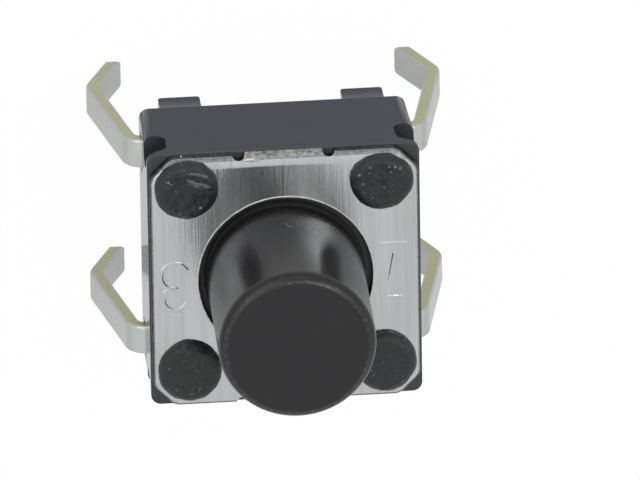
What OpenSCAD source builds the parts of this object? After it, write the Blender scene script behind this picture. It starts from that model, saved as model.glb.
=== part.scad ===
// Tactile push button switch, 6 x 6 mm body, four pins through the board.
// The switch stands on its four pin tips: z = 0 is the plane of the tips, the centre of the
// body is on the Z axis, and the front of the switch faces -Y.

/* [Body] */
// Side of the square moulded base, at its top
base_w = 6; // [5.8:0.05:6.4]
// How much each side of the base leans in from its top to its underside
base_draft = 0.05; // [0:0.01:0.08]
// Radius of the base's upright corners
base_r = 0.22; // [0.1:0.02:0.3]
// Height from the board to the top of the cover
body_h = 3.4; // [3.3:0.05:3.8]

/* [Feet] */
// Height of the feet under the base
foot_h = 0.5; // [0.3:0.05:0.6]
// Width of a foot along the front
foot_w = 0.92; // [0.7:0.02:1.1]
// Depth of a foot from the front to the back
foot_d = 0.8; // [0.6:0.05:1]
// Distance of a foot's middle from the base's side
foot_inset = 0.98; // [0.9:0.02:1.1]
// Radius of the feet's lower edges
foot_r = 0.08; // [0.04:0.01:0.12]

/* [Cover plate] */
// How far the stamped plate's edges stay inside the base's
cover_inset = 0.03; // [0.02:0.01:0.1]
// Thickness of the plate
cover_t = 0.2; // [0.15:0.01:0.3]
// Cut-off of the plate's corners
cover_chamfer = 0.45; // [0.3:0.05:0.6]
// Radial gap between the plate's bore and the button's foot
bore_play = 0.16; // [0.1:0.01:0.2]
// Diameter of the half-round nicks beside the shear tabs
nick_d = 0.27; // [0.2:0.01:0.36]
// Distance between the nicks on one edge
nick_pitch = 1.98; // [1.6:0.02:2.4]
// How far the sheared tab stands out between the nicks
tab_out = 0.02; // [0.01:0.01:0.05]

/* [Heat-staked posts] */
// Distance of the posts' centres from the base's sides
post_inset = 0.84; // [0.8:0.01:0.87]
// Diameter of a post where it passes the plate
post_d = 1; // [0.8:0.05:1.1]
// Radial play between a post and its hole in the plate
post_play = 0.04; // [0.02:0.01:0.08]
// Diameter of the melted head
head_d = 1.42; // [1.3:0.02:1.5]
// Height of the melted head above the plate
head_h = 0.24; // [0.18:0.02:0.3]
// Radius of the head's rounded rim
head_r = 0.16; // [0.1:0.01:0.17]

/* [Corner pockets] */
// Width of the arched pocket across each corner
pocket_w = 0.66; // [0.5:0.02:0.8]
// Height of the pocket at its crown
pocket_h = 0.95; // [0.8:0.01:1.05]
// Depth of the pocket from the corner's rounded edge
pocket_d = 0.45; // [0.3:0.05:0.6]
// Distance of the pocket's crown below the base's top
pocket_down = 0.15; // [0.1:0.01:0.3]

/* [Button] */
// Diameter of the button
button_d = 3.46; // [3.3:0.02:3.6]
// Height of the button's top above the board
button_h = 7; // [5:0.25:9.5]
// Radius of the button's top edge
button_r = 0.25; // [0.1:0.05:0.4]
// How much wider the button's foot is than its shaft, on the radius
button_flare = 0.03; // [0.01:0.01:0.05]
// Height over which the shaft flares above the cover
flare_h = 0.55; // [0.55:0.05:0.8]
// Diameter of the collar that the cover holds down
collar_d = 4.2; // [4:0.05:4.3]
// Thickness of the collar
collar_t = 0.5; // [0.4:0.05:0.7]
// Diameter of the nub that presses the dome
nub_d = 1.2; // [0.8:0.1:1.6]
// Travel of the button
travel = 0.25; // [0.2:0.01:0.3]

/* [Snap dome] */
// Thickness of the dome's spring sheet
dome_t = 0.07; // [0.05:0.01:0.09]
// Diameter of the dome's rim
dome_d = 4.2; // [4.1:0.02:4.3]

/* [Terminals] */
// Thickness of the terminal sheet
leg_t = 0.3; // [0.2:0.01:0.35]
// Width of a leg
leg_w = 0.68; // [0.5:0.02:0.8]
// Distance of a leg's middle from the base's front or back
leg_inset = 0.75; // [0.7:0.01:0.85]
// Height above the board at which the legs leave the base
exit_h = 1.28; // [1.1:0.02:1.4]
// Distance of the root bend's corner outside the base
root_out = 0.18; // [0.1:0.01:0.25]
// Inside radius of the root bend
root_r = 0.2; // [0.12:0.01:0.22]
// How far the kinks stand outside the tips, middle to middle
kink_out = 0.58; // [0.4:0.02:0.7]
// Depth of the kinks below the board
kink_drop = 1.74; // [1.4:0.02:2]
// Inside radius of the kinks
kink_r = 0.3; // [0.08:0.01:0.4]
// Distance of the tips' middles outside the base
tip_out = 0.22; // [0.15:0.01:0.3]
// Depth of the tips below the board
leg_drop = 3.05; // [2.8:0.05:3.5]
// Cut-off of the tips' corners
tip_chamfer = 0.09; // [0.04:0.01:0.14]
// Width of the arm that carries the middle contact
arm_w = 0.7; // [0.5:0.05:0.9]
// Diameter of the middle contact
contact_d = 1; // [0.8:0.05:1.3]
// Width of the two side contacts
rail_w = 0.5; // [0.4:0.02:0.6]
// Distance between the side contacts' centres
rail_pitch = 3.5; // [3.2:0.05:3.6]
// Gap between the side contacts' ends and the front strip
rail_gap = 0.75; // [0.5:0.05:1]

/* [Clearances] */
// Radial gap between the collar or dome and the well they sit in
well_play = 0.1; // [0.05:0.01:0.12]
// Gap between the collar and the plate, and between the nub and the dome
rest_play = 0.02; // [0.01:0.01:0.03]
// Relief in the base round each leg's root
root_play = 0.09; // [0.03:0.01:0.12]
// Depth of that relief
root_relief = 0.16; // [0.16:0.01:0.2]
// Diameter of the holes that the mould's support pins leave
pin_hole_d = 0.4; // [0.2:0.05:0.45]
// Diameter of the gate mark under the base
gate_d = 1.2; // [1:0.1:1.6]
// Depth of the gate mark
gate_h = 0.15; // [0.1:0.05:0.2]

/* [Hidden] */
$fn = 96;

cut = 0.01; // how far a cutter runs past the face it opens
bend_steps = 10; // flats round each bend of a leg
seat_z = leg_drop;
cover_top = seat_z + body_h;
base_top = cover_top - cover_t;
base_bottom = seat_z + foot_h;
base_h = base_top - base_bottom;
sheet_z = seat_z + exit_h; // middle of the terminal sheet inside the base
floor_z = sheet_z + leg_t / 2; // floor of the well, flush with the contacts
well_d = max(collar_d, dome_d) + 2 * well_play;
button_top = seat_z + button_h;
dome_h = travel + dome_t; // the dome meets the middle contact at full travel
collar_top = base_top - rest_play;

cover_w = base_w - 2 * cover_inset;
cover_bore_d = button_d + 2 * (button_flare + bore_play);
post_at = base_w / 2 - post_inset;
foot_x = base_w / 2 - foot_inset;

leg_y = base_w / 2 - leg_inset;
root_x = base_w / 2 + root_out;
tip_x = base_w / 2 + tip_out;
kink_x = tip_x + kink_out;
relief_x = base_w / 2 - root_relief; // where a leg's flat root enters the plastic
kink_z = seat_z - kink_drop;

// Square with cut corners, centred
module cut_square(w, c) {
    h = w / 2;
    polygon([
        [h, c - h], [h, h - c], [h - c, h], [c - h, h],
        [-h, h - c], [-h, c - h], [c - h, -h], [h - c, -h]]);
}

// The base's outside without its feet and posts: both side profiles lean in towards the underside
module base_block() {
    top = base_w / 2;
    low = top - base_draft;
    intersection() {
        translate([0, 0, base_bottom]) linear_extrude(base_h) {
            square([base_w, base_w - 2 * base_r], center = true);
            square([base_w - 2 * base_r, base_w], center = true);
            for (x = [-1, 1], y = [-1, 1]) translate([x, y] * (top - base_r)) circle(base_r, $fn = 48);
        }
        for (turn = [0, 90]) rotate([90, 0, turn])
            linear_extrude(2 * base_w, center = true)
                polygon([[-low, base_bottom], [low, base_bottom], [top, base_top], [-top, base_top]]);
    }
}

// One foot, flush with the front face, its lower edges rounded
module foot() {
    face = base_w / 2 - base_draft;
    translate([0, -face, 0]) rotate([90, 0, 0]) translate([0, seat_z, -foot_d]) linear_extrude(foot_d) {
        translate([-foot_w / 2, foot_r]) square([foot_w, foot_h - foot_r + cut]);
        translate([foot_r - foot_w / 2, 0]) square([foot_w - 2 * foot_r, foot_h]);
        for (side = [-1, 1]) translate([side * (foot_w / 2 - foot_r), foot_r]) circle(foot_r, $fn = 24);
    }
}

// One post, from its root in the base to the melted head that holds the plate
module post() {
    translate([0, 0, base_top - cut]) cylinder(d = post_d, h = cover_t + 2 * cut);
    translate([0, 0, cover_top]) rotate_extrude() intersection() {
        union() {
            square([head_d / 2, head_h - head_r]);
            square([head_d / 2 - head_r, head_h]);
            translate([head_d / 2 - head_r, head_h - head_r]) circle(head_r, $fn = 32);
        }
        square([head_d / 2, head_h]);
    }
}

// Arched pocket across one corner, as a cutter that runs out along the diagonal
module corner_pocket() {
    face = (base_w / 2 - base_r) * sqrt(2) + base_r;
    sill = base_top - pocket_down - pocket_h;
    rotate([0, 0, 45]) rotate([90, 0, 90]) translate([0, sill, face - pocket_d]) linear_extrude(base_w) {
        translate([-pocket_w / 2, 0]) square([pocket_w, pocket_h - pocket_w / 2]);
        translate([0, pocket_h - pocket_w / 2]) circle(d = pocket_w, $fn = 48);
    }
}

// Relief round one leg's root, in the side face
module root_pocket() {
    size = [root_relief + cut + base_draft, leg_w + 2 * root_play, leg_t + 2 * root_play];
    translate([relief_x, leg_y - size[1] / 2, sheet_z - size[2] / 2]) cube([2 * size[0], size[1], size[2]]);
}

module base() {
    color([0.16, 0.16, 0.17]) {
        difference() {
            base_block();
            translate([0, 0, floor_z]) cylinder(d = well_d, h = base_h);
            for (sx = [0, 1], sy = [0, 1]) mirror([sx, 0, 0]) mirror([0, sy, 0]) {
                corner_pocket();
                root_pocket();
            }
            front_sheet();
            back_sheet();
            // Holes of the mould's support pins under the side contacts, and the gate mark
            for (side = [-1, 1]) translate([side * rail_pitch / 2, 0, base_bottom - cut])
                cylinder(d = pin_hole_d, h = sheet_z - leg_t / 2 - base_bottom + cut, $fn = 48);
            translate([0, 0, base_bottom - cut]) cylinder(d = gate_d, h = gate_h + cut, $fn = 48);
        }
        for (sx = [0, 1], sy = [0, 1]) mirror([sx, 0, 0]) mirror([0, sy, 0]) {
            translate([foot_x, 0, 0]) foot();
            translate([post_at, post_at, 0]) post();
        }
    }
}

// Outline of the stamped plate, with nicks beside the shear tabs of its front and back edges
module cover_outline() {
    h = cover_w / 2;
    difference() {
        union() {
            cut_square(cover_w, cover_chamfer);
            square([nick_pitch - nick_d, cover_w + 2 * tab_out], center = true);
        }
        for (x = [-1, 1], y = [-1, 1])
            translate([x * nick_pitch / 2, y * h]) circle(d = nick_d, $fn = 32);
        circle(d = cover_bore_d);
        for (x = [-1, 1], y = [-1, 1])
            translate([x, y] * post_at) circle(d = post_d + 2 * post_play, $fn = 64);
    }
}

module cover() {
    color([0.72, 0.73, 0.74]) translate([0, 0, base_top]) linear_extrude(cover_t) cover_outline();
}

// The button is turned about the Z axis: nub, collar, flared foot, straight shaft, rounded top edge
module button() {
    r = button_d / 2;
    foot_r = r + button_flare;
    shaft_z = cover_top + flare_h;
    nub_z = floor_z + dome_h + rest_play;
    color([0.17, 0.17, 0.18]) rotate_extrude() {
        translate([0, nub_z]) square([nub_d / 2, collar_top - nub_z]);
        translate([0, collar_top - collar_t]) square([collar_d / 2, collar_t]);
        polygon([[0, collar_top - cut], [foot_r, collar_top - cut], [r, shaft_z], [0, shaft_z]]);
        translate([0, shaft_z - cut]) square([r, button_top - button_r - shaft_z + cut]);
        translate([0, shaft_z - cut]) square([r - button_r, button_top - shaft_z + cut]);
        translate([r - button_r, button_top - button_r]) circle(button_r, $fn = 48);
    }
}

// Shallow spherical spring sheet, its rim on the side contacts
module snap_dome() {
    ball_r = (pow(dome_d / 2, 2) + pow(dome_h, 2)) / (2 * dome_h);
    color([0.8, 0.8, 0.78]) difference() {
        intersection() {
            translate([0, 0, floor_z + dome_h - ball_r]) sphere(ball_r);
            translate([0, 0, floor_z]) cylinder(d = 2 * dome_d, h = dome_h + cut);
        }
        translate([0, 0, floor_z + dome_h - ball_r]) sphere(ball_r - dome_t);
    }
}

// Points of one arc of a bent strip, as its heading turns from h0 to h1 degrees about the centre c
function arc(c, r, h0, h1) =
    [for (i = [0:bend_steps]) let (h = h0 + (h1 - h0) * i / bend_steps) c + r * [-sin(h), cos(h)]];

// Centre of the bend of radius r at corner p, where a strip turns clockwise from heading h0 to h1
function bend_centre(p, r, h0, h1) =
    p - r * tan((h0 - h1) / 2) * [cos(h0), sin(h0)] + r * [sin(h0), -cos(h0)];

// One side of a leg's outline, off from the middle of the sheet: flat root, root bend, kink, tip
function leg_side(off) =
    let (root = [root_x, sheet_z], kink = [kink_x, kink_z], tip = [tip_x, 0])
    let (down = atan2(kink[1] - root[1], kink[0] - root[0]), back = atan2(tip[1] - kink[1], tip[0] - kink[0]))
    let (root_mid = root_r + leg_t / 2, kink_mid = kink_r + leg_t / 2)
    concat(
        [[relief_x - leg_t, sheet_z + off]],
        arc(bend_centre(root, root_mid, 0, down), root_mid + off, 0, down),
        arc(bend_centre(kink, kink_mid, down, back), kink_mid + off, down, back),
        [tip + leg_t * [cos(back), sin(back)] + off * [-sin(back), cos(back)]]);

module leg_outline() {
    outer = leg_side(leg_t / 2);
    inner = leg_side(-leg_t / 2);
    polygon(concat(outer, [for (i = [len(inner) - 1:-1:0]) inner[i]]));
}

// One leg at the right-hand back corner, cut level at its tip, the tip's corners taken off
module leg() {
    translate([0, leg_y, 0]) difference() {
        rotate([90, 0, 0]) linear_extrude(leg_w, center = true) leg_outline();
        translate([0, -leg_w, -leg_w]) cube([2 * kink_x, 2 * leg_w, leg_w]);
        for (side = [-1, 1]) translate([0, side * leg_w / 2, 0]) rotate([45, 0, 0])
            cube([4 * kink_x, tip_chamfer * sqrt(2), tip_chamfer * sqrt(2)], center = true);
    }
}

// Strip between the roots of one terminal's two legs
module root_strip() {
    translate([0, 0, sheet_z - leg_t / 2]) linear_extrude(leg_t)
        translate([-relief_x, leg_y - leg_w / 2]) square([2 * relief_x, leg_w]);
}

// Flat part of the front terminal, with the arm and the round contact under the dome's middle
module front_sheet() {
    rotate([0, 0, 180]) root_strip();
    translate([0, 0, sheet_z - leg_t / 2]) linear_extrude(leg_t) {
        translate([-arm_w / 2, -leg_y]) square([arm_w, leg_y]);
        circle(d = contact_d, $fn = 64);
    }
}

// Flat part of the back terminal, with two rails under the dome's rim
module back_sheet() {
    root_strip();
    rail_end = leg_w / 2 - leg_y + rail_gap;
    translate([0, 0, sheet_z - leg_t / 2]) linear_extrude(leg_t)
        for (side = [-1, 1]) translate([side * rail_pitch / 2 - rail_w / 2, rail_end])
            square([rail_w, leg_y - rail_end]);
}

module front_terminal() {
    color([0.78, 0.78, 0.74]) {
        front_sheet();
        for (side = [0, 1]) mirror([side, 0, 0]) mirror([0, 1, 0]) leg();
    }
}

module back_terminal() {
    color([0.78, 0.78, 0.74]) {
        back_sheet();
        for (side = [0, 1]) mirror([side, 0, 0]) leg();
    }
}

base();
cover();
button();
snap_dome();
front_terminal();
back_terminal();
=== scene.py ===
from math import atan2, cos, pi, radians, sin, sqrt, tan

import bmesh
import bpy
from mathutils import Matrix, Vector


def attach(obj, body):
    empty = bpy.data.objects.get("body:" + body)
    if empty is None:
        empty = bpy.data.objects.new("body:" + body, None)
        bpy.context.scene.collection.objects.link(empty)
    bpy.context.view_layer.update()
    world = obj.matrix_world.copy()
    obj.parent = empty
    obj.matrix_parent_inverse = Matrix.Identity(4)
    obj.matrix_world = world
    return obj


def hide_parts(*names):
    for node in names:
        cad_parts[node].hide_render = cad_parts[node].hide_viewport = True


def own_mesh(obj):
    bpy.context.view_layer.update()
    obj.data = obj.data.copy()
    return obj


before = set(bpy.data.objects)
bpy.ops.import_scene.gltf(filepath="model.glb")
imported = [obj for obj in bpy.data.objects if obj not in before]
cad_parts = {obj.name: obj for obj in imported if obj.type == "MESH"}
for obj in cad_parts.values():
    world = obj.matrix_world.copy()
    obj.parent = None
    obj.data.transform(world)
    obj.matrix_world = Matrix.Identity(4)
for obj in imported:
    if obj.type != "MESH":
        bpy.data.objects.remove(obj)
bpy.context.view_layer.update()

# Measures in millimetres, in the CAD's frame: z = 0 at the pin tips, the front towards -Y.
# A piece is drawn in millimetres, and finish_piece brings it to metres. The floor, the lamps
# and the camera are placed in metres.
SEAT_Z, BASE_LOW, BASE_TOP, COVER_TOP = 3.05, 3.55, 6.25, 6.45
BASE_W, BASE_DRAFT, BASE_R, BASE_TOP_R, BASE_LOW_R = 6.0, 0.05, 0.22, 0.03, 0.05
FOOT_X, FOOT_W, FOOT_D, FOOT_R = 2.02, 0.92, 0.8, 0.08
WELL_R, WELL_FLOOR = 2.2, 4.48
GATE_R, GATE_DEPTH, PIN_HOLE_R = 0.6, 0.15, 0.2
# A face in a pocket lies nearer than BASE_SIDE along X and Y, and further out than POCKET_REACH.
BASE_SIDE, POCKET_REACH = 2.94, 2.8
POCKET_W, POCKET_H, POCKET_SILL, POCKET_D, POCKET_SILL_R = 0.66, 0.95, 5.15, 0.45, 0.24
PLATE_W, PLATE_CHAMFER, PLATE_CORNER_R, BORE_R = 5.94, 0.47, 0.12, 1.92
# Heights clear of the base and of the plate, where a cut starts or ends.
UNDER_BASE, UNDER_PLATE, OVER_PLATE = 3, 6, 7
LIP_OUT, LIP_R = 0.018, 0.02
POST_R, POST_HOLE_R = 0.5, 0.54
HEAD_R, HEAD_H, HEAD_FILLET, HEAD_SUNK = 0.70, 0.24, 0.20, 0.03
HEAD_TOP = COVER_TOP + HEAD_H
# Each head's x, y and depth along Y as a share of its width.
HEADS = ((2.15, -2.25, 0.98), (-2.15, -2.21, 0.92), (2.15, 2.12, 1.0), (-2.15, 2.12, 1.0))
# How far each head is turned past the one before it, in radians, so that they differ, and the
# scale and strength of each layer of their unevenness.
HEAD_TURN = 1.3
HEAD_LAYERS = ((0.55, 0.07), (0.24, 0.035), (0.10, 0.014))
# Two ridges on one head: x and y along each.
THIN_RIDGE = ((2.20, -2.71), (2.05, -2.70), (1.87, -2.66), (1.73, -2.60), (1.64, -2.53))
BROAD_RIDGE = ((2.16, -2.56), (2.06, -2.50), (1.93, -2.43), (1.76, -2.39), (1.62, -2.34))
# Small pale bumps on the heads, their paleness a painted highlight: x, y and radius.
HEAD_GLINT_BUMPS = (
    (-1.87, -2.63, 0.030), (-1.85, -2.50, 0.022), (-1.63, -2.46, 0.034), (-1.71, -2.25, 0.026),
    (-2.42, -2.62, 0.036), (-2.53, -2.58, 0.030), (-2.33, -2.50, 0.022), (-2.29, -2.64, 0.028),
    (-1.91, -1.91, 0.018), (-2.42, -2.07, 0.018), (2.56, -2.52, 0.040), (2.50, -2.47, 0.022),
    (1.87, -1.88, 0.040), (2.40, -2.30, 0.018), (2.62, 1.95, 0.022), (-2.10, 2.05, 0.018))
# Two nicks on the front edge and two on the back one, and how far the tab between them stands out.
NICK_X, NICK_R, TAB_OUT = 0.99, 0.135, 0.02
# The smear torn up along the front tab's rim, x and y along it and its height, and a burr on the
# front edge.
SMEAR = ((0.90, -2.84), (0.82, -2.85), (0.74, -2.85), (0.62, -2.83), (0.50, -2.83))
SMEAR_Z = 6.43
BURR_AT = (2.25, -2.97, 6.33)
SHAFT_R, SHAFT_FOOT_R, SHAFT_Z = 1.73, 1.76, 7.0
BUTTON_TOP, BUTTON_FILLET, BUTTON_MIDDLE_R = 10.05, 0.25, 0.6
COLLAR_R, COLLAR_LOW, COLLAR_TOP, COLLAR_FILLET = 2.1, 5.73, 6.18, 0.03
# Each pair is the stem's radius and a height. Up to the first height the button is painted paler, as
# painted light in the shaded gap round its foot; from there up to the second it is painted darker and
# duller, as painted shade.
LIT_GAP_R, LIT_GAP_Z, SHADE_TOP_R, SHADE_TOP_Z = 1.75, 6.46, 1.736, 6.90
# The button leans about a point at LEAN_Z, by these angles in radians towards +X and +Y.
LEAN_Z, LEAN_X, LEAN_Y = 6.0, 0.0160, 0.0185
NUB_R, NUB_Z, NUB_FILLET = 0.6, 4.82, 0.04
# The lint on the front of the stem: x and z along it, its width and how far it stands off.
LINT = ((0.06, 7.30), (0.015, 7.42), (-0.01, 7.5), (-0.07, 7.55), (-0.135, 7.56))
LINT_W, LINT_OUT = 0.022, 0.004
DOME_R, DOME_H, DOME_T = 2.1, 0.32, 0.07
SHEET_T, SHEET_Z, SHEET_EDGE, LEG_W, LEG_Y = 0.3, 4.33, 0.07, 0.68, 2.25
# A leg's middle line bends at ROOT and at KINK and ends at TIP: the x and z of each, and the bends'
# inner radii.
ROOT, ROOT_R = (3.18, 4.33), 0.2
KINK, KINK_R = (3.80, 1.31), 0.3
TIP, TIP_CHAMFER = (3.22, 0.0), 0.09
ARM_W, CONTACT_R, RAIL_X, RAIL_W, RAIL_END = 0.7, 0.5, 1.75, 0.5, 1.2
RELIEF_X, RELIEF_END, ROOT_PLAY = 2.84, 3.3, 0.09
# The plate's rolled edge: the width and the rise of each ring, from the rim inwards.
ROLL = ((0.012, 0.030), (0.020, 0.022), (0.028, 0.014), (0.035, 0.007), (0.035, 0.002))
# Past FRONT_ROLL_Y the plate drops by FRONT_ROLL times the square of the way past it. It is cut
# into strips there, so that it can bend.
FRONT_ROLL_Y, FRONT_ROLL = -2.66, 0.70
STRIPS, STRIP_W = 6, 0.04
# The raised figures: the width of the strokes and of the line, and how flat and how sunk they lie.
FIGURE_W, LINE_W, FIGURE_FLAT, FIGURE_SUNK = 0.11, 0.12, 0.28, 0.004
THREE_X, THREE_Y, LINE_Y = 2.44, 0.09, -0.683
# A face of the plate is steep under the first share of its normal along Z, and flat over the second.
STEEP, FLAT = 0.70, 0.97
MERGE_GAP, SMOOTH_UNDER = 0.0004, 35


# Handwork: picking, cutting, joining and finishing pieces.

def deselect():
    if bpy.context.mode != "OBJECT":
        bpy.ops.object.mode_set(mode="OBJECT")
    bpy.ops.object.select_all(action="DESELECT")


def take(piece):
    deselect()
    piece.select_set(True)
    bpy.context.view_layer.objects.active = piece


def pick(piece, kind, test):
    """Opens the piece for editing and selects its faces, edges or vertices that pass the test."""
    take(piece)
    bpy.ops.object.mode_set(mode="EDIT")
    bpy.ops.mesh.select_mode(type=kind)
    bpy.ops.mesh.select_all(action="DESELECT")
    form = bmesh.from_edit_mesh(piece.data)
    parts = {"FACE": form.faces, "EDGE": form.edges, "VERT": form.verts}[kind]
    for part in parts:
        if test(part):
            part.select_set(True)
    form.select_flush_mode()
    bmesh.update_edit_mesh(piece.data)


def settle(name):
    """The primitive just added, named, with its place and size in its mesh."""
    piece = bpy.context.object
    piece.name = name
    bpy.ops.object.transform_apply(location=True, rotation=True, scale=True)
    return piece


def block(name, low, high):
    deselect()
    middle = [(a + b) / 2 for a, b in zip(low, high)]
    size = [b - a for a, b in zip(low, high)]
    bpy.ops.mesh.primitive_cube_add(size=1, location=middle, scale=size)
    return settle(name)


def rod(name, radius, low, high, x=0.0, y=0.0, sides=64):
    deselect()
    bpy.ops.mesh.primitive_cylinder_add(
        vertices=sides, radius=radius, depth=high - low, location=(x, y, (low + high) / 2))
    return settle(name)


def copy_of(piece, name, place):
    twin = piece.copy()
    twin.data = piece.data.copy()
    twin.name = name
    twin.data.transform(place)
    bpy.context.scene.collection.objects.link(twin)
    return twin


def join(pieces):
    deselect()
    for piece in pieces:
        piece.select_set(True)
    bpy.context.view_layer.objects.active = pieces[0]
    bpy.ops.object.join()
    return pieces[0]


def work(piece, tool, how="DIFFERENCE"):
    """Cuts the tool out of the piece, or fuses it to the piece, and removes the tool."""
    take(piece)
    modifier = piece.modifiers.new("work", "BOOLEAN")
    modifier.operation = how
    modifier.object = tool
    modifier.solver = "EXACT"
    bpy.ops.object.modifier_apply(modifier=modifier.name)
    bpy.data.objects.remove(tool)


def close_up(piece):
    """Merges the points that lie together, and turns every face outwards."""
    pick(piece, "VERT", lambda part: True)
    bpy.ops.mesh.remove_doubles(threshold=MERGE_GAP)
    bpy.ops.mesh.normals_make_consistent(inside=False)
    deselect()


def round_edges(piece, radius, segments, test):
    pick(piece, "EDGE", test)
    bpy.ops.mesh.bevel(offset=radius, segments=segments, affect="EDGES", clamp_overlap=True)
    deselect()


def turned(name, outline, sides):
    """A form turned about the Z axis: a disc drawn out ring by ring along (radius, height) points."""
    deselect()
    radius, height = outline[0]
    bpy.ops.mesh.primitive_circle_add(
        vertices=sides, radius=radius, fill_type="NGON", location=(0, 0, height))
    piece = settle(name)
    pick(piece, "FACE", lambda face: True)
    for wider, higher in outline[1:]:
        bpy.ops.mesh.extrude_region_move(
            TRANSFORM_OT_translate={"value": (0, 0, higher - height)})
        ratio = wider / radius
        bpy.ops.transform.resize(value=(ratio, ratio, 1), center_override=(0, 0, higher))
        radius, height = wider, higher
    close_up(piece)
    return piece


def strand(name, knots, thickness, flat=1.0, taper=1.0, corners=(), sunk=0.0):
    """A bead laid along points: thinner at its ends by taper, pressed flat about the height of its
    first point, and lowered by sunk. It turns sharply at the points numbered in corners."""
    deselect()
    bpy.ops.curve.primitive_bezier_curve_add()
    line = bpy.context.object
    line.name = name
    spline = line.data.splines[0]
    spline.bezier_points.add(len(knots) - 2)
    for number, place in enumerate(knots):
        knot = spline.bezier_points[number]
        knot.co = place
        kind = "VECTOR" if number in corners else "AUTO"
        knot.handle_left_type = kind
        knot.handle_right_type = kind
        knot.radius = taper + (1 - taper) * sin(pi * number / (len(knots) - 1))
    line.data.bevel_depth = thickness / 2
    line.data.bevel_resolution = 3
    line.data.resolution_u = 6
    line.data.use_fill_caps = True
    bpy.ops.object.convert(target="MESH")
    bead = bpy.context.object
    low = Matrix.Translation((0, 0, knots[0][2]))
    down = Matrix.Translation((0, 0, -sunk))
    bead.data.transform(down @ low @ Matrix.Diagonal((1, 1, flat, 1)) @ low.inverted())
    close_up(bead)
    return bead


def level(places, height):
    """Points at one height, from pairs of x and y."""
    return [(x, y, height) for x, y in places]


def glint_bump(x, y, z, size):
    """A flattened bump, roughened so that it isn't round."""
    deselect()
    bpy.ops.mesh.primitive_ico_sphere_add(
        subdivisions=2, radius=size, location=(x, y, z), scale=(1, 1, 0.5))
    bit = settle("glint_bump")
    roughen(bit, size * 1.5, size * 0.6)
    return bit


def roughen(piece, scale, strength):
    """Pushes the surface in and out by a soft random pattern of that scale."""
    take(piece)
    pattern = bpy.data.textures.new("unevenness", "CLOUDS")
    pattern.noise_scale = scale
    modifier = piece.modifiers.new("unevenness", "DISPLACE")
    modifier.texture = pattern
    modifier.texture_coords = "LOCAL"
    modifier.strength = strength
    bpy.ops.object.modifier_apply(modifier=modifier.name)


def arc(middle, radius, start, end, steps):
    """Points (radius, height) of a rounding, from one angle to another in degrees."""
    turns = [radians(start + (end - start) * i / steps) for i in range(steps + 1)]
    return [(middle[0] + radius * cos(t), middle[1] + radius * sin(t)) for t in turns]


def at_height(height):
    return lambda edge: all(abs(v.co.z - height) < 1e-4 for v in edge.verts)


def long_at_height(height):
    return lambda edge: at_height(height)(edge) and edge.calc_length() > 1


def upright(edge):
    return abs(edge.verts[0].co.z - edge.verts[1].co.z) > 0.1


def finish_piece(piece, body, nodes):
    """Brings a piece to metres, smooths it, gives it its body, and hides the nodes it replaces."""
    take(piece)
    piece.scale = (0.001, 0.001, 0.001)
    bpy.ops.object.transform_apply(location=True, rotation=True, scale=True)
    bpy.ops.object.shade_smooth_by_angle(angle=radians(SMOOTH_UNDER))
    modifier = piece.modifiers.new("even normals", "WEIGHTED_NORMAL")
    modifier.keep_sharp = True
    bpy.ops.object.modifier_apply(modifier=modifier.name)
    deselect()
    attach(piece, body)
    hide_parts(*nodes)


def dress(piece, main, others=()):
    """Gives a piece its main material, and each other material to the faces that pass its test.
    A face that passes several tests takes the last one's material."""
    piece.data.materials.clear()
    piece.data.materials.append(main)
    for face in piece.data.polygons:
        face.material_index = 0
    for index, (material, test) in enumerate(others, 1):
        piece.data.materials.append(material)
        for face in piece.data.polygons:
            if test(face):
                face.material_index = index


# Finishes: procedural materials on each piece's own coordinates.

def add(tree, kind, inputs=None, **settings):
    node = tree.nodes.new("ShaderNode" + kind)
    for name, value in settings.items():
        setattr(node, name, value)
    for name, value in (inputs or {}).items():
        if isinstance(value, bpy.types.NodeSocket):
            tree.links.new(value, node.inputs[name])
        else:
            node.inputs[name].default_value = value
    return node


def start_finish(name):
    material = bpy.data.materials.new(name)
    material.use_nodes = True
    tree = material.node_tree
    tree.nodes.clear()
    return material, tree


def grain(tree, per_mm, detail=3.0, rough=0.55):
    """Noise on the piece's own coordinates, so many waves to the millimetre along X, Y and Z."""
    place = add(tree, "TexCoord").outputs["Object"]
    scale = [1000 * n for n in per_mm]
    place = add(tree, "Mapping", {"Vector": place, "Scale": scale}).outputs["Vector"]
    noise = add(tree, "TexNoise", {"Vector": place, "Scale": 1.0, "Detail": detail, "Roughness": rough})
    return noise.outputs["Fac"]


def spread(tree, value, low, high, to_low, to_high):
    inputs = {"Value": value, "From Min": low, "From Max": high, "To Min": to_low, "To Max": to_high}
    return add(tree, "MapRange", inputs).outputs["Result"]


def blend_colours(tree, share, first, second):
    return add(tree, "Mix", {0: share, 6: first, 7: second}, data_type="RGBA").outputs[2]


def specks(tree, per_mm, size, share):
    """Small round specks, in that share of the cells of a random pattern."""
    place = add(tree, "TexCoord").outputs["Object"]
    cells = add(tree, "TexVoronoi", {"Vector": place, "Scale": 1000 * per_mm})
    near = add(tree, "Math", {0: cells.outputs["Distance"], 1: size}, operation="LESS_THAN")
    random = add(tree, "SeparateColor", {"Color": cells.outputs["Color"]})
    chosen = add(tree, "Math", {0: random.outputs[0], 1: 1 - share}, operation="GREATER_THAN")
    return add(tree, "Math", {0: near.outputs[0], 1: chosen.outputs[0]}, operation="MULTIPLY").outputs[0]


def complete(tree, colour, rough, height=None, depth=0.01, strength=0.5, **fixed):
    """Ends a finish in one Principled shader. depth is the relief's height in millimetres."""
    shader = add(tree, "BsdfPrincipled", {"Base Color": colour, "Roughness": rough})
    for name, value in fixed.items():
        shader.inputs[name.replace("_", " ").title().replace("Ior", "IOR")].default_value = value
    if height is not None:
        relief = {"Height": height, "Distance": depth / 1000, "Strength": strength}
        tree.links.new(add(tree, "Bump", relief).outputs["Normal"], shader.inputs["Normal"])
    end = add(tree, "OutputMaterial")
    tree.links.new(shader.outputs["BSDF"], end.inputs["Surface"])


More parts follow.
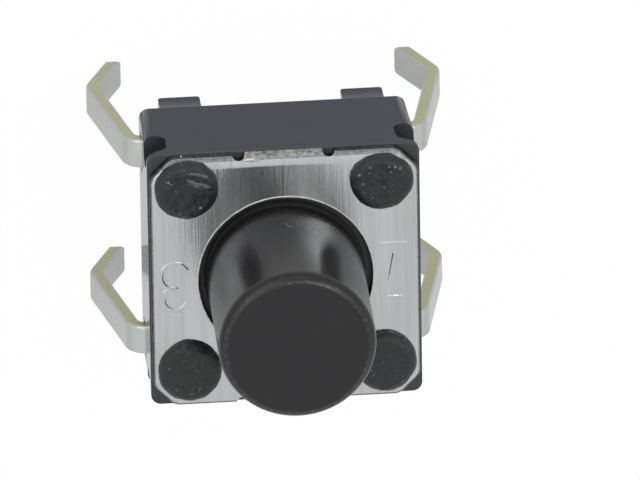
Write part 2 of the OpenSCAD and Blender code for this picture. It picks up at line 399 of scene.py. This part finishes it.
def rolled_steel():
    """The plate's top: fine rolling lines and broader streaks along Y, with faint stains."""
    material, tree = start_finish("rolled_steel")
    lines = grain(tree, (26, 0.7, 2), 5, 0.7)
    broad = grain(tree, (5, 0.25, 1), 3, 0.6)
    stains = grain(tree, (1.1, 0.5, 1), 3)
    light = blend_colours(tree, lines, (0.435, 0.453, 0.455, 1), (0.53, 0.548, 0.55, 1))
    light = blend_colours(tree, spread(tree, broad, 0.40, 0.68, 0, 0.5), light, (0.37, 0.38, 0.385, 1))
    colour = blend_colours(tree, spread(tree, stains, 0.45, 0.75, 0, 0.4), light, (0.42, 0.42, 0.41, 1))
    rough = spread(tree, lines, 0.3, 0.7, 0.08, 0.16)
    drag = grain(tree, (10, 0.3, 1), 3, 0.6)
    height = add(tree, "Math", {0: lines, 1: drag}, operation="ADD").outputs[0]
    complete(tree, colour, rough, height, 0.006, 0.45, metallic=1.0)
    return material


def sheared_shaded_steel():
    """The plate's punched sides and steep rim: dark drag lines down the thickness, and dark all over as
    painted shade of the gap under the rim.
    """
    material, tree = start_finish("sheared_shaded_steel")
    lines = grain(tree, (14, 14, 2), 4, 0.7)
    share = spread(tree, lines, 0.35, 0.7, 0, 1)
    colour = blend_colours(tree, share, (0.020, 0.022, 0.024, 1), (0.085, 0.086, 0.088, 1))
    complete(tree, colour, spread(tree, lines, 0.3, 0.7, 0.3, 0.5), lines, 0.015, 0.6, metallic=1.0)
    return material


def shaded_rim_steel():
    """The slope of the plate's rolled rim, painted darker than the top as shade, so that it shows less of
    the lamps' glint.
    """
    material, tree = start_finish("shaded_rim_steel")
    lines = grain(tree, (12, 12, 3), 4, 0.7)
    share = spread(tree, lines, 0.3, 0.7, 0, 1)
    colour = blend_colours(tree, share, (0.10, 0.105, 0.108, 1), (0.26, 0.268, 0.27, 1))
    complete(tree, colour, spread(tree, lines, 0.3, 0.7, 0.3, 0.42), lines, 0.01, 0.5, metallic=1.0)
    return material


def torn_steel(name, dark, light):
    """Torn and drawn-up steel, in greys from dark to light: the tab's rim and the lip round the bore."""
    material, tree = start_finish(name)
    lines = grain(tree, (9, 9, 14), 5, 0.75)
    share = spread(tree, lines, 0.3, 0.7, 0, 1)
    colour = blend_colours(tree, share, (dark, dark, dark, 1), (light, light, light, 1))
    complete(tree, colour, spread(tree, lines, 0.3, 0.7, 0.3, 0.55), lines, 0.03, 0.9, metallic=1.0)
    return material


def moulded_plastic():
    """The base's glossy black plastic, with a little flow marbling and dust."""
    material, tree = start_finish("moulded_plastic")
    flow = grain(tree, (0.8, 0.8, 1.4), 4)
    dust_and_painted_tone = specks(tree, 2.6, 0.05, 0.10)
    dark = blend_colours(tree, flow, (0.0045, 0.0085, 0.022, 1), (0.0085, 0.013, 0.030, 1))
    colour = blend_colours(tree, dust_and_painted_tone, dark, (0.20, 0.20, 0.20, 1))
    rough = spread(tree, flow, 0.3, 0.7, 0.05, 0.10)
    complete(tree, colour, rough, grain(tree, (2.5, 2.5, 2.5), 3), 0.005, 0.2, ior=1.26)
    return material


def lit_shaded_plastic(name, dark, light):
    """The base's duller plastic, for the walls of the corner pockets and all that faces up, in a darker
    copy and a paler one: the paler one is painted light.
    """
    material, tree = start_finish(name)
    cloud = grain(tree, (6, 6, 6), 4, 0.6)
    low, high = (dark, 1.1 * dark, 1.25 * dark, 1), (light, 1.07 * light, 1.18 * light, 1)
    colour = blend_colours(tree, cloud, low, high)
    complete(tree, colour, spread(tree, cloud, 0.3, 0.7, 0.3, 0.45), cloud, 0.012, 0.5)
    return material


def melted_plastic():
    """The staked heads: plastic that melted and set again, pitted, with clusters of pale flecks painted
    on as highlights.
    """
    material, tree = start_finish("melted_plastic")
    pits = grain(tree, (7, 7, 7), 5, 0.65)
    glints = spread(tree, grain(tree, (16, 16, 16), 2), 0.56, 0.68, 0, 1)
    clusters = spread(tree, grain(tree, (2.2, 2.2, 2.2), 2), 0.5, 0.66, 0, 0.75)
    pale = add(tree, "Math", {0: glints, 1: clusters}, operation="MULTIPLY").outputs[0]
    dark = blend_colours(tree, pits, (0.009, 0.011, 0.012, 1), (0.022, 0.023, 0.024, 1))
    # The pale clusters are painted highlights on the rough heads.
    colour = blend_colours(tree, pale, dark, (0.16, 0.165, 0.17, 1))
    complete(tree, colour, spread(tree, pits, 0.3, 0.7, 0.26, 0.5), pits, 0.03, 0.7, ior=1.42)
    return material


def button_plastic():
    """The button's satin black plastic, with a fine spark-eroded grain and a few specks."""
    material, tree = start_finish("button_plastic")
    fine = grain(tree, (30, 30, 30), 3)
    cloud = grain(tree, (1.2, 1.2, 0.8), 3)
    dust_and_painted_tone = specks(tree, 1.8, 0.045, 0.10)
    dark = blend_colours(tree, cloud, (0.0068, 0.0060, 0.0078, 1), (0.011, 0.010, 0.012, 1))
    colour = blend_colours(tree, dust_and_painted_tone, dark, (0.20, 0.19, 0.20, 1))
    complete(tree, colour, spread(tree, cloud, 0.3, 0.7, 0.21, 0.29), fine, 0.003, 0.4, ior=1.42)
    return material


def shaded_foot_plastic():
    """The foot of the button's stem just above the plate, darker and duller than the rest as painted
    shade near the bore.
    """
    material, tree = start_finish("shaded_foot_plastic")
    dust_and_painted_tone = grain(tree, (10, 10, 10), 3)
    colour = blend_colours(tree, dust_and_painted_tone, (0.012, 0.012, 0.013, 1), (0.016, 0.016, 0.017, 1))
    complete(tree, colour, spread(tree, dust_and_painted_tone, 0.3, 0.7, 0.24, 0.32), dust_and_painted_tone, 0.001, 0.2, ior=1.22)
    return material


def scuffs_and_sheen_plastic():
    """The button's rounded rim, in short scuffs whose paleness is a painted highlight along the rim."""
    material, tree = start_finish("scuffs_and_sheen_plastic")
    scuffs_and_sheen = grain(tree, (9, 9, 3), 4, 0.7)
    share = spread(tree, scuffs_and_sheen, 0.52, 0.7, 0, 1)
    colour = blend_colours(tree, share, (0.009, 0.008, 0.010, 1), (0.065, 0.064, 0.068, 1))
    complete(tree, colour, spread(tree, scuffs_and_sheen, 0.3, 0.7, 0.2, 0.42), scuffs_and_sheen, 0.008, 0.5, ior=1.5)
    return material


def ridge_sheen_plastic():
    """The ridges pressed up on one head, pale in patches as a painted sheen where they catch the light.
    """
    material, tree = start_finish("ridge_sheen_plastic")
    sheen = grain(tree, (10, 10, 10), 4, 0.65)
    share = spread(tree, sheen, 0.35, 0.65, 0, 1)
    colour = blend_colours(tree, share, (0.025, 0.026, 0.028, 1), (0.13, 0.13, 0.135, 1))
    complete(tree, colour, spread(tree, sheen, 0.3, 0.7, 0.3, 0.5), sheen, 0.02, 0.6)
    return material


def lit_gap_plastic():
    """The collar and the well inside the bore, paler than the button's plastic as painted light where the
    bore's gap is shaded.
    """
    material, tree = start_finish("lit_gap_plastic")
    dust_and_painted_tone = grain(tree, (12, 12, 12), 3)
    colour = blend_colours(tree, dust_and_painted_tone, (0.022, 0.023, 0.023, 1), (0.045, 0.047, 0.046, 1))
    complete(tree, colour, spread(tree, dust_and_painted_tone, 0.3, 0.7, 0.45, 0.6), dust_and_painted_tone, 0.006, 0.4)
    return material


def lint_and_glint_finish():
    """Pale plastic: the lint on the button, and the bumps on the heads, whose paleness is a painted
    highlight.
    """
    material, tree = start_finish("lint_and_glint_finish")
    fibre = grain(tree, (22, 22, 22), 3)
    colour = blend_colours(tree, fibre, (0.10, 0.10, 0.105, 1), (0.26, 0.26, 0.265, 1))
    complete(tree, colour, spread(tree, fibre, 0.3, 0.7, 0.5, 0.8), fibre, 0.006, 0.5)
    return material


def silver_plating():
    """The pins' wide faces: silver plating with faint draw lines down the leg."""
    material, tree = start_finish("silver_plating")
    lines = grain(tree, (3, 12, 1.0), 3, 0.6)
    tarnish = grain(tree, (1.2, 1.2, 0.8), 3)
    light = blend_colours(tree, lines, (0.44, 0.465, 0.455, 1), (0.52, 0.54, 0.525, 1))
    colour = blend_colours(tree, spread(tree, tarnish, 0.45, 0.75, 0, 0.7), light, (0.46, 0.455, 0.39, 1))
    complete(tree, colour, spread(tree, lines, 0.3, 0.7, 0.2, 0.32), lines, 0.004, 0.4, metallic=1.0)
    return material


def sheared_plating():
    """The pins' punched edges: olive yellow, with drag lines across the thickness."""
    material, tree = start_finish("sheared_plating")
    lines = grain(tree, (6, 6, 14), 4, 0.7)
    colour = blend_colours(tree, lines, (0.38, 0.385, 0.23, 1), (0.54, 0.545, 0.37, 1))
    complete(tree, colour, spread(tree, lines, 0.3, 0.7, 0.3, 0.46), lines, 0.012, 0.6, metallic=1.0)
    return material


def spring_finish():
    """The snap disc's bright spring steel."""
    material, tree = start_finish("spring_finish")
    lines = grain(tree, (20, 1, 1), 4)
    colour = blend_colours(tree, lines, (0.52, 0.52, 0.50, 1), (0.66, 0.66, 0.63, 1))
    complete(tree, colour, spread(tree, lines, 0.3, 0.7, 0.2, 0.35), lines, 0.004, 0.4, metallic=1.0)
    return material


# The pieces.

def make_button():
    """The button, still upright, and the hook of lint on the front of its stem."""
    top = BUTTON_TOP - BUTTON_FILLET
    outline = [(NUB_R - NUB_FILLET, NUB_Z), (NUB_R, NUB_Z + NUB_FILLET), (NUB_R, COLLAR_LOW)]
    outline += [(COLLAR_R - COLLAR_FILLET, COLLAR_LOW), (COLLAR_R, COLLAR_LOW + COLLAR_FILLET)]
    outline += [(COLLAR_R, COLLAR_TOP - COLLAR_FILLET), (COLLAR_R - COLLAR_FILLET, COLLAR_TOP)]
    outline += [(SHAFT_FOOT_R + 0.02, COLLAR_TOP), (SHAFT_FOOT_R, COLLAR_TOP + COLLAR_FILLET)]
    outline += [(LIT_GAP_R, LIT_GAP_Z), (SHADE_TOP_R, SHADE_TOP_Z), (SHAFT_R, SHAFT_Z), (SHAFT_R, top - 0.05)]
    outline += arc((SHAFT_R - BUTTON_FILLET, top), BUTTON_FILLET, 0, 89.9, 12)
    outline += [(SHAFT_R - BUTTON_FILLET - 0.03, BUTTON_TOP), (BUTTON_MIDDLE_R, BUTTON_TOP)]
    stem = turned("push_button", outline, 160)
    hook = [(x, -SHAFT_R - LINT_OUT, z) for x, z in LINT]
    return stem, strand("pale_finish", hook, LINT_W, 1.0, 0.4)


def make_snap_dome():
    """The snap disc: a shallow dome of thin metal, between two balls with one middle."""
    ball = (DOME_R ** 2 + DOME_H ** 2) / (2 * DOME_H)
    middle = WELL_FLOOR + DOME_H - ball
    steps = [DOME_R * share for share in (0.05, 0.2, 0.35, 0.5, 0.65, 0.8, 0.9)]
    inside = ball - DOME_T
    rim = sqrt(inside ** 2 - (WELL_FLOOR - middle) ** 2)
    under = [(r, middle + sqrt(inside ** 2 - r ** 2)) for r in steps if r < rim - 0.02]
    over = [(r, middle + sqrt(ball ** 2 - r ** 2)) for r in reversed(steps)]
    outline = under + [(rim, WELL_FLOOR), (DOME_R, WELL_FLOOR)] + over
    return turned("snap_disc", outline, 96)


def bend_middle(corner, radius, heading_in, heading_out):
    """Centre of the bend that turns a strip clockwise from one heading to another at a corner."""
    lead = radius * tan((heading_in - heading_out) / 2)
    x = corner[0] - lead * cos(heading_in) + radius * sin(heading_in)
    z = corner[1] - lead * sin(heading_in) - radius * cos(heading_in)
    return x, z


def make_terminal(name, side):
    """One stamped terminal: a flat strip whose two ends are bent down into legs, with the contact's
    arm on the front one and two rails on the rear one."""
    y = side * LEG_Y
    down = atan2(KINK[1] - ROOT[1], KINK[0] - ROOT[0])
    back = atan2(TIP[1] - KINK[1], TIP[0] - KINK[0])
    root_mid, kink_mid = ROOT_R + SHEET_T / 2, KINK_R + SHEET_T / 2
    root_at = bend_middle(ROOT, root_mid, 0, down)
    kink_at = bend_middle(KINK, kink_mid, down, back)
    deselect()
    bpy.ops.mesh.primitive_plane_add(size=1, location=(0, y, SHEET_Z), rotation=(0, pi / 2, 0))
    piece = settle(name)
    pick(piece, "FACE", lambda face: True)
    bpy.ops.transform.resize(value=(1, LEG_W, SHEET_T), center_override=(0, y, SHEET_Z))
    bpy.ops.mesh.select_mode(type="VERT")
    bpy.ops.mesh.bevel(offset=SHEET_EDGE, segments=4, affect="VERTICES")
    bpy.ops.mesh.select_mode(type="FACE")
    bpy.ops.mesh.select_all(action="SELECT")

    def draw_out(dx, dz):
        bpy.ops.mesh.extrude_region_move(TRANSFORM_OT_translate={"value": (dx, 0, dz)})

    def bend(middle, angle):
        bpy.ops.mesh.spin(steps=12, angle=-angle, center=(middle[0], y, middle[1]), axis=(0, 1, 0))

    draw_out(root_at[0], 0)
    bend(root_at, -down)
    lead = root_mid * tan(-down / 2) + kink_mid * tan((down - back) / 2)
    run = sqrt((KINK[0] - ROOT[0]) ** 2 + (KINK[1] - ROOT[1]) ** 2) - lead
    draw_out(run * cos(down), run * sin(down))
    bend(kink_at, down - back)
    run = sqrt((TIP[0] - KINK[0]) ** 2 + (TIP[1] - KINK[1]) ** 2) + SHEET_T
    draw_out(run * cos(back), run * sin(back))
    bpy.ops.mesh.select_all(action="SELECT")
    bpy.ops.mesh.remove_doubles(threshold=0.0005)
    bpy.ops.mesh.select_all(action="SELECT")
    bpy.ops.mesh.bisect(plane_co=(0, 0, 0), plane_no=(0, 0, 1), use_fill=True, clear_inner=True)
    for edge in (-1, 1):
        bpy.ops.mesh.select_all(action="SELECT")
        corner = y + edge * (LEG_W / 2 - TIP_CHAMFER)
        bpy.ops.mesh.bisect(
            plane_co=(0, corner, 0), plane_no=(0, edge, -1), use_fill=True, clear_outer=True)
    pick(piece, "FACE", lambda face: abs(face.calc_center_median().x) < 1e-4)
    bpy.ops.mesh.delete(type="FACE")
    take(piece)
    modifier = piece.modifiers.new("other leg", "MIRROR")
    modifier.merge_threshold = 0.001
    bpy.ops.object.modifier_apply(modifier=modifier.name)
    close_up(piece)
    low, high = SHEET_Z - SHEET_T / 2, SHEET_Z + SHEET_T / 2
    if side < 0:
        arm = block("arm", (-ARM_W / 2, y, low), (ARM_W / 2, 0, high))
        work(piece, arm, "UNION")
        work(piece, rod("contact", CONTACT_R, low, high), "UNION")
    else:
        rails = []
        for x in (-RAIL_X, RAIL_X):
            rails.append(block("rail", (x - RAIL_W / 2, -RAIL_END, low), (x + RAIL_W / 2, y, high)))
        work(piece, join(rails), "UNION")
    return piece


def make_head(name, x, y, depth, turn):
    """The melted head of one post, a little different on each."""
    side = HEAD_R - HEAD_FILLET
    under = COVER_TOP - HEAD_SUNK
    outline = [(POST_R, BASE_TOP - 0.05), (POST_R, under), (HEAD_R - 0.03, under)]
    outline += [(HEAD_R - 0.005, COVER_TOP + 0.01)]
    outline += arc((side, HEAD_TOP - HEAD_FILLET), HEAD_FILLET, 0, 88, 8)
    outline += [(side * share, HEAD_TOP) for share in (0.93, 0.84, 0.74, 0.62, 0.5, 0.36, 0.22, 0.08)]
    head = turned(name, outline, 72)
    shape = Matrix.Diagonal((1, depth, 1, 1)) @ Matrix.Rotation(turn, 4, "Z")
    head.data.transform(Matrix.Translation((x, y, 0)) @ shape)
    for scale, strength in HEAD_LAYERS:
        roughen(head, scale, strength)
    return head


def make_base(terminals):
    """The base's body, cut round the terminals, and its heads and ridges, still apart from it."""
    half = BASE_W / 2
    piece = block("moulded_base", (-half, -half, BASE_LOW), (half, half, BASE_TOP))
    pick(piece, "FACE", lambda face: face.normal.z < -0.5)
    ratio = 1 - 2 * BASE_DRAFT / BASE_W
    bpy.ops.transform.resize(value=(ratio, ratio, 1), center_override=(0, 0, BASE_LOW))
    round_edges(piece, BASE_R, 8, lambda edge: edge.calc_length() < 3)
    round_edges(piece, BASE_TOP_R, 3, at_height(BASE_TOP))
    round_edges(piece, BASE_LOW_R, 3, at_height(BASE_LOW))

    def low_along_y(edge):
        return at_height(SEAT_Z)(edge) and abs(edge.verts[0].co.x - edge.verts[1].co.x) < 1e-4

    face = half - BASE_DRAFT
    low, high = (FOOT_X - FOOT_W / 2, -face, SEAT_Z), (FOOT_X + FOOT_W / 2, FOOT_D - face, BASE_LOW + 0.2)
    foot = block("foot", low, high)
    round_edges(foot, FOOT_R, 5, low_along_y)
    feet = [foot]
    for dx, dy in ((-2 * FOOT_X, 0), (0, 2 * face - FOOT_D), (-2 * FOOT_X, 2 * face - FOOT_D)):
        feet.append(copy_of(foot, "foot", Matrix.Translation((dx, dy, 0))))
    work(piece, join(feet), "UNION")

    corner = (half - BASE_R) * sqrt(2) + BASE_R
    crown = POCKET_SILL + POCKET_H
    arch = block("arch", (corner - POCKET_D, -POCKET_W / 2, POCKET_SILL), (BASE_W, POCKET_W / 2, crown))
    round_edges(arch, POCKET_W / 2 - 0.001, 16, long_at_height(crown))
    round_edges(arch, POCKET_SILL_R, 8, long_at_height(POCKET_SILL))
    tools = []
    for turn in (45, 135, 225, 315):
        tools.append(copy_of(arch, "arch", Matrix.Rotation(radians(turn), 4, "Z")))
    bpy.data.objects.remove(arch)
    across, up = LEG_W / 2 + ROOT_PLAY, SHEET_T / 2 + ROOT_PLAY
    for x in (-1, 1):
        near, far = sorted((x * RELIEF_X, x * RELIEF_END))
        for y in (-LEG_Y, LEG_Y):
            low, high = (near, y - across, SHEET_Z - up), (far, y + across, SHEET_Z + up)
            tools.append(block("relief", low, high))
        tools.append(rod("pin_hole", PIN_HOLE_R, UNDER_BASE, SHEET_Z, x * RAIL_X, 0, 48))
    tools.append(rod("gate", GATE_R, UNDER_BASE, BASE_LOW + GATE_DEPTH, 0, 0, 64))
    tools.append(rod("well", WELL_R, WELL_FLOOR, OVER_PLATE, 0, 0, 96))
    work(piece, join(tools))
    for terminal in terminals:
        work(piece, copy_of(terminal, "core", Matrix.Identity(4)))
    close_up(piece)

    heads = []
    for number, (x, y, depth) in enumerate(HEADS):
        heads.append(make_head(f"head_{number}", x, y, depth, number * HEAD_TURN))
    thin = strand("thin_ridge", level(THIN_RIDGE, HEAD_TOP), 0.09, 0.9, 0.3)
    broad = strand("broad_ridge", level(BROAD_RIDGE, HEAD_TOP), 0.16, 0.6, 0.3)
    ridges = join([thin, broad])
    roughen(ridges, 0.06, 0.02)
    return piece, heads, ridges


def make_glint_bumps():
    """The pale bumps on the heads, painted highlights, as one piece."""
    return join([glint_bump(x, y, HEAD_TOP + size * 0.2, size) for x, y, size in HEAD_GLINT_BUMPS])


def bowl(rise, radius, turns):
    """Points along one bowl of the three, at these angles in degrees."""
    angles = [radians(turn) for turn in turns]
    return [(THREE_X + radius * cos(t), THREE_Y + rise + radius * sin(t), COVER_TOP) for t in angles]


def make_figures():
    """The raised figures: a three on one side of the bore, and an underlined seven on the other."""
    waist = (THREE_X - 0.03, THREE_Y + 0.05, COVER_TOP)
    three = bowl(0.30, 0.27, (155, 110, 65, 20, -25, -65)) + [waist]
    three += bowl(-0.24, 0.31, (65, 22, -20, -65, -110, -155))
    seven = level(((-2.60, 0.60), (-2.21, 0.60), (-2.40, -0.45)), COVER_TOP)
    line = level(((-2.67, LINE_Y), (-2.05, LINE_Y)), COVER_TOP)
    return [
        strand("three", three, FIGURE_W, FIGURE_FLAT, 0.85, (6,), FIGURE_SUNK),
        strand("seven", seven, FIGURE_W, FIGURE_FLAT, 0.85, (0, 1, 2), FIGURE_SUNK),
        strand("underline", line, LINE_W, FIGURE_FLAT, 0.9, (0, 1), FIGURE_SUNK)]


def make_plate():
    """The punched plate, its rim rolled down by the die, most of all along the front. The lip round
    the bore is apart from it, and so are the burr and the smear on its rim."""
    half = PLATE_W / 2
    rise = sum(up for _, up in ROLL)
    piece = block("cover_plate", (-half, -half, BASE_TOP), (half, half, COVER_TOP - rise))
    round_edges(piece, PLATE_CHAMFER, 1, upright)
    round_edges(piece, PLATE_CORNER_R, 4, upright)
    pick(piece, "FACE", lambda face: face.normal.z > 0.99)
    for width, up in ROLL:
        bpy.ops.mesh.inset(thickness=width, depth=up)
    for strip in range(STRIPS):
        bpy.ops.mesh.select_all(action="SELECT")
        bpy.ops.mesh.bisect(plane_co=(0, FRONT_ROLL_Y - STRIP_W * strip, 0), plane_no=(0, 1, 0))
    tools = [rod("bore", BORE_R, UNDER_PLATE, OVER_PLATE, 0, 0, 160)]
    for x, y, _ in HEADS:
        tools.append(rod("post_hole", POST_HOLE_R, UNDER_PLATE, OVER_PLATE, x, y, 48))
    for x in (-1, 1):
        for y in (-1, 1):
            tools.append(rod("nick", NICK_R, UNDER_PLATE, OVER_PLATE, x * NICK_X, y * half, 32))
    work(piece, join(tools))
    close_up(piece)
    for y in (-1, 1):
        def tab(face):
            return face.normal.y * y > 0.99 and abs(face.calc_center_median().x) < 0.2

        pick(piece, "FACE", tab)
        bpy.ops.transform.translate(value=(0, y * TAB_OUT, 0))
    deselect()
    for corner in piece.data.vertices:
        past = FRONT_ROLL_Y - corner.co.y
        if past > 0 and corner.co.z > BASE_TOP + 0.05:
            corner.co.z -= FRONT_ROLL * past ** 2
    bpy.ops.mesh.primitive_torus_add(
        location=(0, 0, COVER_TOP), major_radius=BORE_R + LIP_OUT, minor_radius=LIP_R,
        major_segments=160, minor_segments=12)
    lip = settle("lip")
    bpy.ops.mesh.primitive_cone_add(
        vertices=16, radius1=0.022, radius2=0.008, depth=0.06, location=BURR_AT,
        rotation=(pi / 2, 0, 0))
    burr = settle("burr")
    roughen(burr, 0.05, 0.015)
    smear = strand("smear", level(SMEAR, SMEAR_Z), 0.09, 0.4, 0.3)
    roughen(smear, 0.05, 0.02)
    return piece, lip, join([burr, smear])


# The stage, the lamps and the camera.

def make_stage():
    """A white floor and a white studio, dimmer as lights than as they are seen, and six lamps."""
    floor_seen, floor_mirrored, floor_grey, studio_fill = 0.985, 0.5, 0.86, 0.66
    deselect()
    bpy.ops.mesh.primitive_plane_add(size=3, location=(0, 0, -0.00001))
    floor = bpy.context.object
    floor.name = "floor"
    material, tree = start_finish("pale_floor")
    path = add(tree, "LightPath").outputs
    seen = add(tree, "Math", {0: path["Is Camera Ray"], 1: floor_seen}, operation="MULTIPLY").outputs[0]
    mirrored = add(
        tree, "Math", {0: path["Is Glossy Ray"], 1: path["Is Transmission Ray"]}, operation="MAXIMUM")
    mirrored = add(tree, "Math", {0: mirrored.outputs[0], 1: floor_mirrored}, operation="MULTIPLY")
    share = add(tree, "Math", {0: seen, 1: mirrored.outputs[0]}, operation="MAXIMUM").outputs[0]
    grey = (floor_grey, floor_grey, floor_grey, 1)
    matte = add(tree, "BsdfDiffuse", {"Color": grey}).outputs[0]
    glow = add(tree, "Emission", {"Color": (1, 1, 1, 1), "Strength": 1.0}).outputs[0]
    both = add(tree, "MixShader", {0: share, 1: matte, 2: glow}).outputs[0]
    add(tree, "OutputMaterial", {"Surface": both})
    floor.data.materials.append(material)

    world = bpy.data.worlds.new("studio")
    bpy.context.scene.world = world
    world.use_nodes = True
    tree = world.node_tree
    tree.nodes.clear()
    path = add(tree, "LightPath").outputs
    seen = add(tree, "Math", {0: path["Is Camera Ray"], 1: path["Is Glossy Ray"]}, operation="MAXIMUM")
    seen = add(tree, "Math", {0: seen.outputs[0], 1: path["Is Transmission Ray"]}, operation="MAXIMUM")
    fill = add(tree, "Background", {"Color": (1, 1, 1, 1), "Strength": studio_fill}).outputs[0]
    white = add(tree, "Background", {"Color": (1, 1, 1, 1), "Strength": 1.0}).outputs[0]
    both = add(tree, "MixShader", {0: seen.outputs[0], 1: fill, 2: white}).outputs[0]
    add(tree, "OutputWorld", {"Surface": both})

    aim = Vector((0, 0, 0.006))
    lamps = (
        ("overhead", (0, -0.035, 0.21), (0.16, 0.14), 0.005),
        ("key", (-0.066, -0.055, 0.185), (0.055, 0.045), 0.050),
        ("left_top", (0.082, -0.016, 0.188), (0.07, 0.07), 0.015),
        ("left", (0.13, -0.12, 0.15), (0.16, 0.10), 0.045),
        ("right", (-0.14, -0.12, 0.14), (0.12, 0.10), 0.018),
        ("front_low", (0.02, -0.24, 0.11), (0.22, 0.05), 0.03))
    for name, place, size, watts in lamps:
        deselect()
        bpy.ops.object.light_add(type="AREA", location=place)
        lamp = bpy.context.object
        lamp.name = name
        lamp.data.shape = "RECTANGLE"
        lamp.data.size, lamp.data.size_y = size
        lamp.data.energy = watts
        lamp.rotation_euler = (aim - Vector(place)).to_track_quat("-Z", "Y").to_euler()


def make_camera():
    """The photograph's angle: from the front, high, 11 degrees to the right, and turned over."""
    deselect()
    azimuth, elevation, roll = radians(11.0494), radians(65.3614), radians(166.9564)
    aim, distance = Vector((-0.0007652, -0.0008538, 0.00645)), 0.39303
    look = Vector((sin(azimuth) * cos(elevation), -cos(azimuth) * cos(elevation), sin(elevation)))
    bpy.ops.object.camera_add()
    camera = bpy.context.object
    turn = look.to_track_quat("Z", "Y").to_matrix().to_4x4()
    camera.matrix_world = (
        Matrix.Translation(aim + look * distance) @ turn @ Matrix.Rotation(roll, 4, "Z"))
    camera.data.sensor_width = 36
    camera.data.lens = 1007.8
    camera.data.clip_start = 0.01
    camera.data.clip_end = 10
    bpy.context.scene.camera = camera


# Which faces take which finish.

def in_pocket(face):
    """Whether a face of the base is at the pockets' height and inside its four sides, and so far
    from its middle that it can't be in the well."""
    spot = face.center
    inside = max(abs(spot.x), abs(spot.y)) < BASE_SIDE and spot.xy.length > POCKET_REACH
    return inside and POCKET_SILL - 0.02 < spot.z < BASE_TOP


def faces_up(face):
    return face.normal.z > 0.2


def painted_light_faces(face):
    """The pockets' faces, and the front half of what faces up: these take the paler plastic, painted
    light.
    """
    return in_pocket(face) or (faces_up(face) and face.center.y < 0)


def in_well(face):
    return face.center.xy.length < WELL_R + 0.01 and face.center.z > WELL_FLOOR - 0.01


def punched_edge(face):
    return abs(face.normal.y) > 0.9


def steep(face):
    return abs(face.normal.z) < STEEP


def sloping(face):
    return STEEP < face.normal.z < FLAT


def on_tab(face):
    """Whether a face of the plate lies on the rim between two nicks, and looks up a little."""
    return abs(face.center.x) < 0.4 and abs(face.center.y) > 2.88 and face.normal.z > 0.25


def collar(face):
    return face.center.z < LIT_GAP_Z


def foot_of_stem(face):
    return LIT_GAP_Z < face.center.z < SHADE_TOP_Z


def rim_of_top(face):
    """Whether a face of the button lies on the upper part of its rounded rim."""
    return face.center.z > BUTTON_TOP - 0.16 and 0.78 < face.normal.z < 0.975


# The switch.

bpy.context.scene.view_settings.view_transform = "Standard"
make_camera()
make_stage()
steel, sheared_shaded = rolled_steel(), sheared_shaded_steel()
torn = torn_steel("torn_steel", 0.07, 0.46)
bright = torn_steel("bright_steel", 0.35, 0.85)
plating, punched, pale_finish = silver_plating(), sheared_plating(), lint_and_glint_finish()

front = make_terminal("front_pins", -1)
rear = make_terminal("rear_pins", 1)
base, heads, ridges = make_base((front, rear))
for pins, node in ((front, "front_terminal"), (rear, "back_terminal")):
    dress(pins, plating, [(punched, punched_edge)])
    finish_piece(pins, "housing", [node])

lit_gap = lit_gap_plastic()
# The pockets and the front half of what faces up are paler than the rest of what faces up: painted light.
dress(base, moulded_plastic(), [
    (lit_shaded_plastic("lit_shaded_plastic", 0.015, 0.027), faces_up),
    (lit_shaded_plastic("painted_light_plastic", 0.028, 0.05), painted_light_faces),
    (lit_gap, in_well)])
melted = melted_plastic()
for head in heads:
    dress(head, melted)
glint_bumps = make_glint_bumps()
# The bumps on the heads take the pale finish as painted highlights.
dress(glint_bumps, pale_finish)
dress(ridges, ridge_sheen_plastic())
base = join([base] + heads + [ridges, glint_bumps])
finish_piece(base, "housing", ["base"])

plate, lip, burr = make_plate()
# The punched sides and the rim's slope take darker steels, painted shade.
dress(plate, steel, [(sheared_shaded, steep), (shaded_rim_steel(), sloping), (torn, on_tab)])
dress(lip, bright)
dress(burr, bright)
figures = make_figures()
for figure in figures:
    dress(figure, steel)
plate = join([plate, lip, burr] + figures)
finish_piece(plate, "housing", ["cover"])

button, fibre = make_button()
# Below the plate the button is painted paler, as painted light; just above it darker, as painted shade;
# the rim's pale scuffs are painted highlight.
dress(button, button_plastic(), [
    (lit_gap, collar), (shaded_foot_plastic(), foot_of_stem), (scuffs_and_sheen_plastic(), rim_of_top)])
dress(fibre, pale_finish)
button = join([button, fibre])
pivot = Matrix.Translation((0, 0, LEAN_Z))
lean = Matrix.Rotation(LEAN_X, 4, "Y") @ Matrix.Rotation(-LEAN_Y, 4, "X")
button.data.transform(pivot @ lean @ pivot.inverted())
finish_piece(button, "button", ["button"])

disc = make_snap_dome()
dress(disc, spring_finish())
finish_piece(disc, "housing", ["snap_dome"])
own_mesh(disc)
